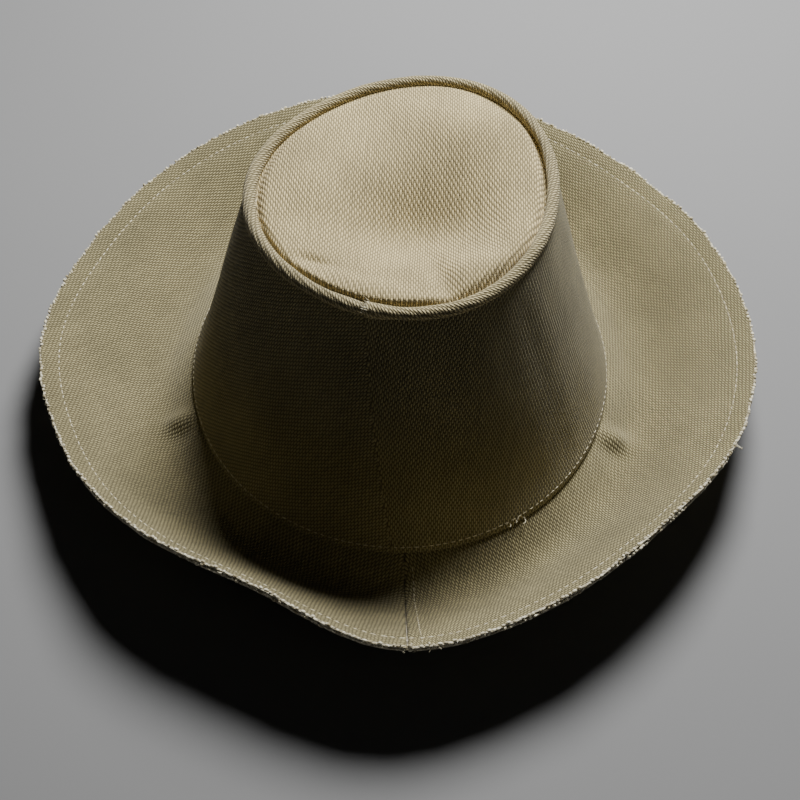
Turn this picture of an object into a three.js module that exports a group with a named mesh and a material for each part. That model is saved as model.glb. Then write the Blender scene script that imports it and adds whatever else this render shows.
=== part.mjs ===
// Boonie hat of heavy cotton canvas, in millimetres, +Z up.
// The hat lies on its brim with the crown up. Its centre back is towards -Y.
// Every piece is a flat-cut cloth panel, a strip or a line of thread, sewn to its neighbours.
import * as THREE from 'three';
import { mergeVertices } from 'three/addons/utils/BufferGeometryUtils.js';

// Cloth
const CANVAS = 1.1;
const BAND_CLOTH = 1.0;
const GAP = 0.4;
const THREAD = 0.35;

// Crown: the oval at its foot, the oval at its top, and how the top sits over the foot
const FOOT_HALF_WIDTH = 91;
const FOOT_HALF_LENGTH = 101.7;
const FOOT_HEIGHT = 8.3;
const TOP_HALF_WIDTH = 59.9;
const TOP_HALF_LENGTH = 67;
const TOP_HEIGHT = 108.6;
const TOP_OVAL_HEIGHT = 106;
const TOP_SHIFT_X = 2.4;
const TOP_SHIFT_Y = 2.5;
const TOP_TILT = THREE.MathUtils.degToRad(1.9);
const TOP_OVAL_TURN = THREE.MathUtils.degToRad(-19);
const TOP_CLOTH_TURN = THREE.MathUtils.degToRad(-10.5);
const TOP_EGG = 0.03;
const TOP_EGG_TURN = THREE.MathUtils.degToRad(15);
const CROWN_SEAM = THREE.MathUtils.degToRad(-92);

// Binding folded over the crown's top edge, and the tip sunk inside it
const BINDING_DEPTH = 4.6;
const BINDING_WALL = 1.8;
const GROOVE_DEPTH = BINDING_DEPTH + GAP;
const TIP_SHOULDER_DEPTH = 3.6;
const TIP_DISH_DEPTH = 9;

// Brim: its edge at sixteen even stations, counter-clockwise from the wearer's right (+X)
const EDGE_HEIGHT = [25, 24.5, 24, 28, 31, 29, 25, 23, 25, 29, 38, 41, 35.5, 37, 39, 32];
const EDGE_REACH = [62, 62.5, 60.5, 60, 60, 61, 62, 62, 64, 58, 53, 47.5, 58.5, 53, 51.5, 57.5];
const BACK_EDGE_RISE = 0.5;
const FRONT_EDGE_RISE = 0.72;
const BRIM_SEAM = THREE.MathUtils.degToRad(-89);
const VALLEY_REACH = 12.5;
const VALLEY_FLAT = 5;
const COLLAR_TOP = 19;
const COLLAR_INSET = 2.8;
const EDGE_STITCH_INSET = 7.5;
const SEAM_STITCH_INSET = 5;

// Sweatband
const BAND_BOTTOM = 6.5;
const BAND_TOP = 38;
const BAND_INSET = COLLAR_INSET + GAP + CANVAS + GAP;

// Facets and seam slits
const HALF_TURN = Math.PI;
const FULL_TURN = 2 * Math.PI;
const STEPS_PER_HALF = 24;
const SEAM_SLIT = 0.25 / FOOT_HALF_WIDTH;
const RING_RADIUS = 100;

const OLIVE = 0x5f5a47;
const OLIVE_LIGHT = 0x6e6852;
const BAND_COLOUR = 0x7b755f;
const THREAD_COLOUR = 0xb3a98a;

const { lerp, clamp } = THREE.MathUtils;

// A point `out` millimetres outside the crown's oval at `level` (0 at the foot, 1 at the top).
// The top oval is slightly egg-shaped, shifted, turned and tilted, and its cloth is wrung round.
function ovalPoint(level, angle, out, z) {
  const halfWidth = lerp(FOOT_HALF_WIDTH, TOP_HALF_WIDTH, level);
  const halfLength = lerp(FOOT_HALF_LENGTH, TOP_HALF_LENGTH, level);
  const around = angle + level * (TOP_CLOTH_TURN - TOP_OVAL_TURN);
  const cos = Math.cos(around);
  const sin = Math.sin(around);
  const egg = 1 - level * TOP_EGG * Math.cos(3 * (around - TOP_EGG_TURN));
  const normal = new THREE.Vector2(halfLength * cos, halfWidth * sin).normalize();
  const point = new THREE.Vector2(halfWidth * cos, halfLength * sin).multiplyScalar(egg);
  point.addScaledVector(normal, out);
  point.rotateAround(new THREE.Vector2(), TOP_OVAL_TURN * level);
  point.add(new THREE.Vector2(TOP_SHIFT_X, TOP_SHIFT_Y).multiplyScalar(level));
  return new THREE.Vector3(point.x, point.y, z + level * Math.tan(TOP_TILT) * point.y);
}

// A point on or inside the crown, measured from the outer face of its side.
function onCrown(angle, out, z) {
  const level = clamp((z - FOOT_HEIGHT) / (TOP_OVAL_HEIGHT - FOOT_HEIGHT), 0, 1);
  return ovalPoint(level, angle, out, z);
}

// A point of the brim: its collar follows the crown, the rest lies outside the foot.
function onBrim(angle, out, z) {
  return out < 0 ? onCrown(angle, out, z) : ovalPoint(0, angle, out, z);
}

// Unit-thickness offsets of a profile, to its right-hand side outwards, mitred at its corners.
function miters(points) {
  const normals = [];
  for (let i = 1; i < points.length; i += 1) {
    const along = points[i].clone().sub(points[i - 1]).normalize();
    normals.push(new THREE.Vector2(along.y, -along.x));
  }
  return points.map((_, i) => {
    const before = normals[Math.max(i - 1, 0)];
    const after = normals[Math.min(i, normals.length - 1)];
    const middle = before.clone().add(after).normalize();
    return middle.divideScalar(middle.dot(after));
  });
}

// Splits the squares of a box's last face along the same diagonals as the face opposite,
// so that cloth layers stay parallel where they twist.
function matchDiagonals(geometry) {
  const { start, count } = geometry.groups.at(-1);
  const index = geometry.index;
  for (let i = start; i < start + count; i += 6) {
    const first = index.getX(i);
    const third = index.getX(i + 4);
    index.setX(i + 2, third);
    index.setX(i + 3, first);
  }
}

// A cloth piece swept round the hat. Its section runs along profileAt(angle) and its
// thickness lies between the offsets `low` and `high`.
function cloth({ start, sweep, steps, profileAt, low, high, place }) {
  const across = profileAt(start).length - 1;
  const geometry = new THREE.BoxGeometry(1, 1, 1, steps, across, 1);
  matchDiagonals(geometry);
  const position = geometry.attributes.position;
  for (let i = 0; i < position.count; i += 1) {
    const angle = start + (position.getX(i) + 0.5) * sweep;
    const points = profileAt(angle);
    const row = Math.round((position.getY(i) + 0.5) * across);
    const offset = position.getZ(i) > 0 ? high : low;
    const spot = points[row].clone().addScaledVector(miters(points)[row], offset);
    const target = place(angle, spot.x, spot.y);
    position.setXYZ(i, target.x, target.y, target.z);
  }
  return joined(geometry);
}

// One side of the hat: half a turn, clear of the seam at both ends.
function half(side, seam) {
  const start = side === 'right' ? seam : seam + HALF_TURN;
  return { start: start + SEAM_SLIT, sweep: HALF_TURN - 2 * SEAM_SLIT, steps: STEPS_PER_HALF };
}

// A strip round the whole hat, with its two ends meeting at the seam.
function strip(seam) {
  return { start: seam + SEAM_SLIT, sweep: FULL_TURN - 2 * SEAM_SLIT, steps: 2 * STEPS_PER_HALF };
}

// A closed ring from a closed profile, one section at each step from the seam.
function ring(profile, seam, place) {
  const shifted = profile.map((p) => new THREE.Vector2(RING_RADIUS + p.x, p.y));
  const geometry = new THREE.LatheGeometry(shifted, 2 * STEPS_PER_HALF);
  const position = geometry.attributes.position;
  for (let i = 0; i < position.count; i += 1) {
    const across = position.getX(i);
    const ahead = position.getZ(i);
    const angle = seam + Math.atan2(across, ahead);
    const out = Math.hypot(across, ahead) - RING_RADIUS;
    const target = place(angle, out, position.getY(i));
    position.setXYZ(i, target.x, target.y, target.z);
  }
  return joined(geometry);
}

// A thread's section round the point (out, z), as a closed profile for a ring.
function threadSection(out, z) {
  return [[1, 0], [0, 1], [-1, 0], [0, -1], [1, 0]].map(
    ([x, y]) => new THREE.Vector2(out + x * THREAD, z + y * THREAD),
  );
}

// A straight line of stitching, as a tube through the given points.
function threadLine(points, steps) {
  const shape = new THREE.Shape().absarc(0, 0, THREAD, 0, FULL_TURN);
  const path = new THREE.CatmullRomCurve3(points);
  const options = { extrudePath: path, steps, curveSegments: 4, bevelEnabled: false };
  return joined(new THREE.ExtrudeGeometry(shape, options));
}

function joined(geometry) {
  geometry.deleteAttribute('normal');
  geometry.deleteAttribute('uv');
  return mergeVertices(geometry);
}

// ---- Crown ----

const SIDE_TOP = TOP_HEIGHT - BINDING_WALL;

function crownSide(side) {
  const heights = [FOOT_HEIGHT, 32, 60, 85, SIDE_TOP];
  const profileAt = () => heights.map((z) => new THREE.Vector2(0, z));
  return cloth({ ...half(side, CROWN_SEAM), profileAt, low: -CANVAS, high: 0, place: onCrown });
}

// Binding: up outside the crown side, over its raw edge and down inside the tip's flange.
const BINDING_OUTSIDE = GAP;
const BINDING_INSIDE = -2 * (CANVAS + GAP);

function crownEdgeBinding() {
  const foot = TOP_HEIGHT - BINDING_DEPTH;
  const top = TOP_HEIGHT - CANVAS;
  const round = CANVAS;
  const profile = [
    [BINDING_OUTSIDE, foot],
    [BINDING_OUTSIDE, top - round],
    [BINDING_OUTSIDE - round, top],
    [BINDING_INSIDE + round, top],
    [BINDING_INSIDE, top - round],
    [BINDING_INSIDE, foot],
  ].map(([out, z]) => new THREE.Vector2(out, z));
  const profileAt = () => profile;
  return cloth({ ...strip(CROWN_SEAM), profileAt, low: 0, high: CANVAS, place: onCrown });
}

// Tip: an oval panel, dished in the middle, with its edge turned up inside the binding.
function crownTip() {
  const flangeOut = -CANVAS - GAP;
  const flangeIn = flangeOut - CANVAS;
  const floor = TOP_HEIGHT - GROOVE_DEPTH;
  const shoulder = TOP_HEIGHT - TIP_SHOULDER_DEPTH;
  const dish = TOP_HEIGHT - TIP_DISH_DEPTH;
  const profile = [
    [-RING_RADIUS, dish - CANVAS],
    [-60, dish + 1.4 - CANVAS],
    [-34, shoulder - 1 - CANVAS],
    [-14, shoulder - CANVAS],
    [-8, floor - CANVAS],
    [flangeOut, floor - CANVAS],
    [flangeOut, SIDE_TOP],
    [flangeIn, SIDE_TOP],
    [flangeIn, floor],
    [-8.6, floor],
    [-15, shoulder],
    [-34, shoulder - 1],
    [-60, dish + 1.4],
    [-RING_RADIUS, dish],
  ].map(([out, z]) => new THREE.Vector2(out, z));
  return ring(profile, CROWN_SEAM, onTip);
}

// A point of the tip. Its margin keeps the binding's oval, its middle shrinks evenly.
function onTip(angle, out, z) {
  const margin = 8;
  if (out > -margin) return onCrown(angle, out, z);
  const edge = onCrown(angle, -margin, z);
  const centre = new THREE.Vector3(TOP_SHIFT_X, TOP_SHIFT_Y, z + Math.tan(TOP_TILT) * TOP_SHIFT_Y);
  return centre.lerp(edge, (out + RING_RADIUS) / (RING_RADIUS - margin));
}

// ---- Brim ----

const stations = new THREE.CatmullRomCurve3(
  EDGE_HEIGHT.map((height, i) => new THREE.Vector3(height, EDGE_REACH[i], 0)),
  true,
);

// The brim's section at one angle, on the lower face of its upper layer, from edge to collar.
function brimProfile(angle) {
  const turns = angle / FULL_TURN;
  const edge = stations.getPoint(turns - Math.floor(turns));
  const low = CANVAS + GAP;
  const start = VALLEY_REACH + VALLEY_FLAT / 2;
  const reach = edge.y - start;
  const rise = edge.x - low;
  const backness = clamp(-Math.sin(angle) * 1.6, 0, 1);
  const roll = lerp(FRONT_EDGE_RISE, BACK_EDGE_RISE, backness);
  const slope = new THREE.CubicBezierCurve(
    new THREE.Vector2(start, low),
    new THREE.Vector2(start + 0.26 * reach, low),
    new THREE.Vector2(start + 0.5 * reach, low + roll * rise),
    new THREE.Vector2(edge.y, edge.x),
  );
  const stitch = slope.getUtoTmapping(1 - EDGE_STITCH_INSET / slope.getLength());
  const outer = [1, stitch, 0.6, 0.36, 0.16, 0].map((t) => slope.getPoint(t));
  const inner = [
    [VALLEY_REACH - VALLEY_FLAT / 2, low],
    [5, 4.2],
    [0.8, 6.1],
    [-1.9, 6.9],
    [-COLLAR_INSET, FOOT_HEIGHT],
    [-COLLAR_INSET, COLLAR_TOP],
  ].map(([out, z]) => new THREE.Vector2(out, z));
  return [...outer, ...inner];
}

const STITCH_ROW = 1;

function brimTop(side) {
  const sweep = half(side, BRIM_SEAM);
  return cloth({ ...sweep, profileAt: brimProfile, low: 0, high: CANVAS, place: onBrim });
}

function brimUnder(side) {
  const sweep = half(side, BRIM_SEAM);
  return cloth({ ...sweep, profileAt: brimProfile, low: -GAP - CANVAS, high: -GAP, place: onBrim });
}

// A spot of the brim's section, lifted square off the reference face.
function liftedSpot(angle, row, lift) {
  const points = brimProfile(angle);
  return points[row].clone().addScaledVector(miters(points)[row], lift);
}

const TOP_THREAD_LIFT = CANVAS + GAP + THREAD;
const UNDER_THREAD_LIFT = -2 * GAP - CANVAS - THREAD;

function brimEdgeThread(lift) {
  const place = (angle, out, z) => {
    const spot = liftedSpot(angle, STITCH_ROW, lift);
    return onBrim(angle, spot.x + out, spot.y + z);
  };
  return ring(threadSection(0, 0), BRIM_SEAM, place);
}

function brimSeamThread(seam) {
  const angle = seam + SEAM_STITCH_INSET / FOOT_HALF_LENGTH;
  const rows = [8, 7, 6, 5, 4, 3, 2];
  const points = rows.map((row) => {
    const spot = liftedSpot(angle, row, TOP_THREAD_LIFT + THREAD);
    return onBrim(angle, spot.x, spot.y);
  });
  return threadLine(points, 16);
}

// ---- Thread on the crown ----

function crownFootThread() {
  const stitchHeight = FOOT_HEIGHT + 2.2;
  return ring(threadSection(GAP + THREAD, stitchHeight), CROWN_SEAM, onCrown);
}

function tipSeamThread() {
  const out = BINDING_INSIDE - CANVAS - GAP - THREAD;
  return ring(threadSection(out, TOP_HEIGHT - GROOVE_DEPTH + 2 * THREAD), CROWN_SEAM, onCrown);
}

function crownSeamThread(seam) {
  const out = -CANVAS - GAP - 2 * THREAD;
  const points = [COLLAR_TOP + 2, 50, TOP_HEIGHT - 12].map((z) => onCrown(seam, out, z));
  return threadLine(points, 6);
}

// ---- Sweatband ----

function sweatband() {
  const profileAt = () => [BAND_BOTTOM, FOOT_HEIGHT, BAND_TOP].map((z) => new THREE.Vector2(-BAND_INSET, z));
  return cloth({ ...strip(CROWN_SEAM), profileAt, low: -BAND_CLOTH, high: 0, place: onCrown });
}

const BAND_THREAD_OUT = -BAND_INSET - BAND_CLOTH - GAP - THREAD;

function sweatbandThread() {
  return ring(threadSection(BAND_THREAD_OUT, FOOT_HEIGHT + 3), CROWN_SEAM, onCrown);
}

function sweatbandJoinThread() {
  const angle = CROWN_SEAM + 4 / FOOT_HALF_LENGTH;
  const points = [FOOT_HEIGHT + 5, 24, BAND_TOP - 1].map((z) => onCrown(angle, BAND_THREAD_OUT, z));
  return threadLine(points, 4);
}

// ---- Assembly ----

const hat = new THREE.Group();

function add(name, geometry, colour, roughness) {
  const material = new THREE.MeshStandardMaterial({ color: colour, roughness, metalness: 0 });
  const mesh = new THREE.Mesh(geometry, material);
  mesh.name = name;
  hat.add(mesh);
}

function addThread(name, geometry) {
  add(name, geometry, THREAD_COLOUR, 0.8);
}

add('crown_tip', crownTip(), OLIVE_LIGHT, 0.95);
add('crown_edge_binding', crownEdgeBinding(), OLIVE_LIGHT, 0.95);
for (const side of ['left', 'right']) {
  add(`crown_side_${side}`, crownSide(side), OLIVE, 0.95);
  add(`brim_top_${side}`, brimTop(side), OLIVE, 0.95);
  add(`brim_under_${side}`, brimUnder(side), OLIVE, 0.95);
}
add('sweatband', sweatband(), BAND_COLOUR, 0.9);
addThread('tip_seam_thread', tipSeamThread());
addThread('crown_base_topstitching', crownFootThread());
addThread('crown_back_seam_thread', crownSeamThread(CROWN_SEAM));
addThread('crown_front_seam_thread', crownSeamThread(CROWN_SEAM + HALF_TURN));
addThread('brim_edge_stitching', brimEdgeThread(TOP_THREAD_LIFT));
addThread('brim_edge_bobbin_stitching', brimEdgeThread(UNDER_THREAD_LIFT));
addThread('brim_back_seam_topstitching', brimSeamThread(BRIM_SEAM));
addThread('brim_front_seam_topstitching', brimSeamThread(BRIM_SEAM + HALF_TURN));
addThread('sweatband_stitching', sweatbandThread());
addThread('sweatband_join_stitching', sweatbandJoinThread());

// The origin is the middle of the hat's box, on the surface that the brim rests on.
const box = new THREE.Box3().setFromObject(hat);
hat.position.x = -(box.min.x + box.max.x) / 2;
hat.position.y = -(box.min.y + box.max.y) / 2;

export default hat;
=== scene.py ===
"""A boonie hat of heavy olive canvas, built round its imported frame.

Every cloth piece is a grid that is shaped on the hat's own form and given its thickness.
Its UV map, called "cloth", is the piece laid flat, in metres, so the weave follows the cut.
Lengths are in metres and angles in radians unless a name says otherwise.
"""

import logging
import math
import random
from collections.abc import Callable, Sequence
from dataclasses import dataclass, field
from enum import Enum

import bmesh
import bpy
from mathutils import Matrix, Vector, noise


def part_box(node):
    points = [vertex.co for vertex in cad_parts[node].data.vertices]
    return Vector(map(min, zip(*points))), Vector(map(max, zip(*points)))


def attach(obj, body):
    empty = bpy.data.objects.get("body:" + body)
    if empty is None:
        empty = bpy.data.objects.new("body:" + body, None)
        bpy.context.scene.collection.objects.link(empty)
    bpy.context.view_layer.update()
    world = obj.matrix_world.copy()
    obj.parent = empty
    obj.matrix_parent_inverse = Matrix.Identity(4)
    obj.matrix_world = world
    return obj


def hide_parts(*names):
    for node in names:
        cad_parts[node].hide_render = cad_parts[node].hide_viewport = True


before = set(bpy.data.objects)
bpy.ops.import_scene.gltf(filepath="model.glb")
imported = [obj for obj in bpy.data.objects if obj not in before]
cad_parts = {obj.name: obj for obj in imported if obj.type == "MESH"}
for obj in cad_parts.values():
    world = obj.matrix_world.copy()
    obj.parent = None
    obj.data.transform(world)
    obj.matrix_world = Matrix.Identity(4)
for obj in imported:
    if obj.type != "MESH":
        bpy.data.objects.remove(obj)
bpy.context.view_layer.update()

BODY = "root"
MM = 0.001
FULL_TURN = 2 * math.pi
CLOTH_MAP = "cloth"
THREAD_SLOT = "sewing_thread"

log = logging.getLogger("boonie_hat")

Pair = tuple[float, float]
Colour = tuple[float, float, float]
Socket = bpy.types.NodeSocket
Place = Callable[[float, float], tuple[Vector, Pair]]
Spot = Callable[[float], tuple[Vector, Vector]]


class Side(Enum):
    """The wearer's side that a half panel lies on."""

    LEFT = "left"
    RIGHT = "right"


class Layer(Enum):
    """The brim's two layers, with the lift of each layer's middle off the section line."""

    TOP = 0.3 * MM
    UNDER = -0.95 * MM

    @property
    def label(self) -> str:
        """The layer's word in the names of nodes and pieces."""
        return self.name.lower()

    @property
    def outward(self) -> int:
        """1 where the layer's outer face looks up, -1 where it looks down."""
        return 1 if self is Layer.TOP else -1


# ---------------------------------------------------------------- small helpers


def blend_between(low: float, high: float, share: float) -> float:
    """Return the value at `share` of the way from `low` to `high`."""
    return low + (high - low) * share


def limit(value: float) -> float:
    """Return `value` held between 0 and 1."""
    return max(0.0, min(1.0, value))


def ease(value: float) -> float:
    """Return a smooth step from 0 to 1 as `value` goes from 0 to 1."""
    held = limit(value)
    return held * held * (3 - 2 * held)


def hump(distance: float, width: float) -> float:
    """Return a bell curve that is 1 at no distance and fades over `width`."""
    return math.exp(-((distance / width) ** 2))


def wrapped(angle: float) -> float:
    """Return `angle` brought between minus and plus half a turn."""
    return (angle + math.pi) % FULL_TURN - math.pi


def round_hat(angle: float, scale: float = 1.0, third: float = 0.0) -> Vector:
    """Return the place at `angle` on a circle, so that noise read there meets itself."""
    return Vector((math.cos(angle) * scale, math.sin(angle) * scale, third))


def facing(reach: Callable[[float], Vector], level: float, step: float = MM) -> tuple[Vector, Vector]:
    """Return the point that `reach` gives at `level`, and the way that it moves with `step`."""
    point = reach(level)
    return point, (reach(level + step) - point).normalized()


def curve_through(values: Sequence[float], position: float) -> float:
    """Return a smooth closed curve through evenly spaced values.

    Args:
        values: the values at even stations round one turn.
        position: the place round the turn, counted in stations.

    Returns:
        The value of the curve there.
    """
    count = len(values)
    first = math.floor(position)
    share = position - first
    before, start, end, after = (values[(first + step) % count] for step in (-1, 0, 1, 2))
    slope = (end - before) / 2
    next_slope = (after - start) / 2
    square, cube = share**2, share**3
    return (
        (2 * cube - 3 * square + 1) * start
        + (cube - 2 * square + share) * slope
        + (3 * square - 2 * cube) * end
        + (cube - square) * next_slope
    )


def line_through(points: Sequence[Vector], steps: int) -> list[Vector]:
    """Return an open smooth line through `points`, with `steps` pieces between each two."""
    ends = [points[0] * 2 - points[1], *points, points[-1] * 2 - points[-2]]
    line = []
    for before, start, end, after in zip(ends, ends[1:], ends[2:], ends[3:]):
        for step in range(steps):
            t = step / steps
            line.append(
                start
                + (end - before) * (t / 2)
                + (before * 2 - start * 5 + end * 4 - after) * (t**2 / 2)
                + (start * 3 - before - end * 3 + after) * (t**3 / 2)
            )
    return [*line, points[-1].copy()]


class Ribbon:
    """A section line that can be read by its distance from its start."""

    def __init__(self, points: Sequence[Vector]) -> None:
        """Measure the line through `points`, which are (out, height) pairs."""
        self.points = list(points)
        self.marks = [0.0]
        for start, end in zip(self.points, self.points[1:]):
            self.marks.append(self.marks[-1] + (end - start).length)

    @property
    def length(self) -> float:
        """The line's whole length."""
        return self.marks[-1]

    def at(self, distance: float) -> tuple[Vector, Vector]:
        """Return the point at `distance` from the start, and the unit normal there.

        The normal is to the right of the way the line runs.
        """
        index = 0
        last = len(self.points) - 2
        while index < last and self.marks[index + 1] < distance:
            index += 1
        span = self.marks[index + 1] - self.marks[index]
        share = (distance - self.marks[index]) / span
        along = self.normal_at(index).lerp(self.normal_at(index + 1), limit(share))
        point = self.points[index].lerp(self.points[index + 1], share)
        return point, along.normalized()

    def normal_at(self, index: int) -> Vector:
        """Return the right-hand normal at a point of the line."""
        start = self.points[max(index - 1, 0)]
        end = self.points[min(index + 1, len(self.points) - 1)]
        along = (end - start).normalized()
        return Vector((along.y, -along.x))


# ---------------------------------------------------------------- the hat's form


@dataclass
class HatForm:
    """The shape that every cloth piece is laid on."""

    foot_half_width: float = 91 * MM
    foot_half_length: float = 101.7 * MM
    foot_height: float = 8.3 * MM
    top_half_width: float = 59.9 * MM
    top_half_length: float = 67 * MM
    top_oval_height: float = 106 * MM
    top_shift: Pair = (2.4 * MM, 2.5 * MM)
    top_tilt: float = math.radians(1.9)
    top_oval_turn: float = math.radians(-19)
    top_cloth_turn: float = math.radians(-10.5)
    top_egg: float = 0.03
    top_egg_turn: float = math.radians(15)
    crown_seam: float = math.radians(-92)
    brim_seam: float = math.radians(-89)
    edge_height_mm: tuple[float, ...] = (
        25, 24.5, 24, 28, 31, 29, 25, 23, 25, 29, 38, 41, 35.5, 37, 39, 32,
    )
    edge_reach_mm: tuple[float, ...] = (
        62, 62.5, 60.5, 60, 60, 61, 62, 62, 64, 58, 53, 47.5, 58.5, 53, 51.5, 57.5,
    )
    front_edge_rise: float = 0.72
    back_edge_rise: float = 0.5
    back_spread: float = 1.6
    slope_start: float = 14 * MM
    slope_steps: int = 28
    section_lift: float = 1.5 * MM
    foot_section_mm: tuple[Pair, ...] = (
        (14, 1.5), (10.5, 1.7), (5, 4.0), (0.8, 6.1), (-1.9, 6.9), (-2.8, 8.6), (-2.8, 13),
    )
    collar_out: float = -2.8 * MM
    collar_length: float = 11 * MM
    centre: Vector = field(init=False)

    def __post_init__(self) -> None:
        """Take the middle of the crown's foot from the sweatband's place in the frame."""
        low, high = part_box("sweatband")
        self.centre = ((low + high) / 2).to_2d()

    def oval(self, level: float, angle: float, out: float, height: float) -> Vector:
        """Return a point measured square from the crown's oval.

        Args:
            level: 0 at the crown's foot, 1 at its top.
            angle: round the oval from the wearer's right, counter-clockwise from above.
            out: how far outside the oval.
            height: above the surface that the hat lies on.

        Returns:
            The point in the frame's own coordinates.
        """
        half_width = blend_between(self.foot_half_width, self.top_half_width, level)
        half_length = blend_between(self.foot_half_length, self.top_half_length, level)
        around = angle + level * (self.top_cloth_turn - self.top_oval_turn)
        cos, sin = math.cos(around), math.sin(around)
        egg = 1 - level * self.top_egg * math.cos(3 * (around - self.top_egg_turn))
        normal = Vector((half_length * cos, half_width * sin)).normalized()
        point = Vector((half_width * cos, half_length * sin)) * egg + normal * out
        point.rotate(Matrix.Rotation(self.top_oval_turn * level, 2))
        point += Vector(self.top_shift) * level
        tilted = height + level * math.tan(self.top_tilt) * point.y
        point += self.centre
        return Vector((point.x, point.y, tilted))

    def on_crown(self, angle: float, out: float, height: float) -> Vector:
        """Return a point measured from the outer face of the crown's side."""
        rise = self.top_oval_height - self.foot_height
        return self.oval(limit((height - self.foot_height) / rise), angle, out, height)

    def on_brim(self, angle: float, out: float, height: float) -> Vector:
        """Return a point of the brim, whose collar follows the crown."""
        if out < 0:
            return self.on_crown(angle, out, height)
        return self.oval(0.0, angle, out, height)

    def brim_section(self, angle: float) -> Ribbon:
        """Return the brim's section at `angle`, from its cut edge to its collar's top."""
        station = angle / FULL_TURN * len(self.edge_height_mm)
        edge_height = curve_through(self.edge_height_mm, station) * MM
        edge_reach = curve_through(self.edge_reach_mm, station) * MM
        low = self.section_lift
        start = self.slope_start
        reach = edge_reach - start
        rise = edge_height - low
        backness = limit(-math.sin(angle) * self.back_spread)
        roll = blend_between(self.front_edge_rise, self.back_edge_rise, backness)
        handles = (
            Vector((edge_reach, edge_height)),
            Vector((start + 0.5 * reach, low + roll * rise)),
            Vector((start + 0.26 * reach, low)),
            Vector((start, low)),
        )
        slope = [bezier_point(handles, step / self.slope_steps) for step in range(self.slope_steps)]
        foot = line_through([Vector(pair) * MM for pair in self.foot_section_mm], 5)
        collar = Vector((self.collar_out, self.foot_height + self.collar_length))
        return Ribbon([*slope, *foot, collar])


def bezier_point(handles: Sequence[Vector], t: float) -> Vector:
    """Return the point at `t` of the cubic curve with the given four handles."""
    s = 1 - t
    first, second, third, last = handles
    return first * s**3 + second * (3 * s * s * t) + third * (3 * s * t * t) + last * t**3


# ---------------------------------------------------------------- mesh tools


def sheet_mesh(name: str, columns: Sequence[float], rows: Sequence[float], place: Place) -> bpy.types.Object:
    """Make a cloth sheet from a flat grid whose points are moved onto the hat.

    Args:
        name: the new object's name.
        columns: the values that `place` gets for the grid's columns.
        rows: the values that `place` gets for its rows.
        place: gives the point, and the point of the flat cloth, for a column and a row.

    Returns:
        The new object, with its cloth map.
    """
    bm = bmesh.new()
    across, along = len(columns) - 1, len(rows) - 1
    bmesh.ops.create_grid(bm, x_segments=across, y_segments=along, size=0.5)
    bm.verts.index_update()
    flat = {}
    for vertex in bm.verts:
        column = columns[round((vertex.co.x + 0.5) * across)]
        row = rows[round((vertex.co.y + 0.5) * along)]
        vertex.co, flat[vertex.index] = place(column, row)
    layer = bm.loops.layers.uv.new(CLOTH_MAP)
    for face in bm.faces:
        face.smooth = True
        for loop in face.loops:
            loop[layer].uv = flat[loop.vert.index]
    return object_from(name, bm)


def object_from(name: str, bm: bmesh.types.BMesh) -> bpy.types.Object:
    """Turn a bmesh into a linked object and free it."""
    mesh = bpy.data.meshes.new(name)
    bm.to_mesh(mesh)
    bm.free()
    made = bpy.data.objects.new(name, mesh)
    bpy.context.scene.collection.objects.link(made)
    return made


class YarnPile:
    """Many small grains and fibres in one mesh, made in small batches so that it stays quick."""

    BATCH = 24

    def __init__(self) -> None:
        """Start an empty pile."""
        self.whole = bmesh.new()
        self.batch = bmesh.new()
        self.count = 0

    def gather(self) -> None:
        """Move the batch into the pile."""
        mesh = bpy.data.meshes.new("batch")
        self.batch.to_mesh(mesh)
        self.whole.from_mesh(mesh)
        bpy.data.meshes.remove(mesh)
        self.batch.clear()

    def room(self) -> bmesh.types.BMesh:
        """Return the batch, with room for one more item."""
        self.count += 1
        if self.count % self.BATCH == 0:
            self.gather()
        return self.batch

    def grain(self, place: Vector, along: Vector, up: Vector, size: Vector) -> None:
        """Add one rice-shaped grain, such as a stitch or a yarn end.

        Args:
            place: the grain's middle.
            along: its long direction.
            up: a direction roughly square to that.
            size: half its length, width and height.
        """
        ahead = along.normalized()
        across = up.cross(ahead).normalized()
        lifted = ahead.cross(across)
        turn = Matrix((across, lifted, ahead)).transposed().to_4x4()
        scale = Matrix.Diagonal((size.y, size.z, size.x, 1))
        matrix = Matrix.Translation(place) @ turn @ scale
        bmesh.ops.create_uvsphere(self.room(), u_segments=6, v_segments=4, radius=1, matrix=matrix)

    def fibre(self, points: Sequence[Vector], radius: float, sides: int = 3) -> None:
        """Add a thin fibre or thread along `points`, by extruding a small polygon."""
        batch = self.room()
        ahead = (points[1] - points[0]).normalized()
        turn = ahead.to_track_quat("Z", "Y").to_matrix().to_4x4()
        matrix = Matrix.Translation(points[0]) @ turn
        made = bmesh.ops.create_circle(batch, cap_ends=True, segments=sides, radius=radius, matrix=matrix)
        cap = made["verts"][0].link_faces[0]
        cap.normal_update()
        if cap.normal.dot(ahead) > 0:
            cap.normal_flip()
        for start, end in zip(points, points[1:]):
            grown = bmesh.ops.extrude_face_region(batch, geom=[cap], use_keep_orig=start is points[0])
            cap = next(item for item in grown["geom"] if isinstance(item, bmesh.types.BMFace))
            bmesh.ops.translate(batch, vec=end - start, verts=cap.verts[:])

    def finish(self, name: str, finish: "Finish", nodes: Sequence[str] = (), slot: str = THREAD_SLOT) -> None:
        """Turn the pile into one smooth-faced piece, and dress it."""
        self.gather()
        self.batch.free()
        for face in self.whole.faces:
            face.smooth = True
        bmesh.ops.recalc_face_normals(self.whole, faces=self.whole.faces[:])
        dress(object_from(name, self.whole), nodes, [finish])


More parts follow.
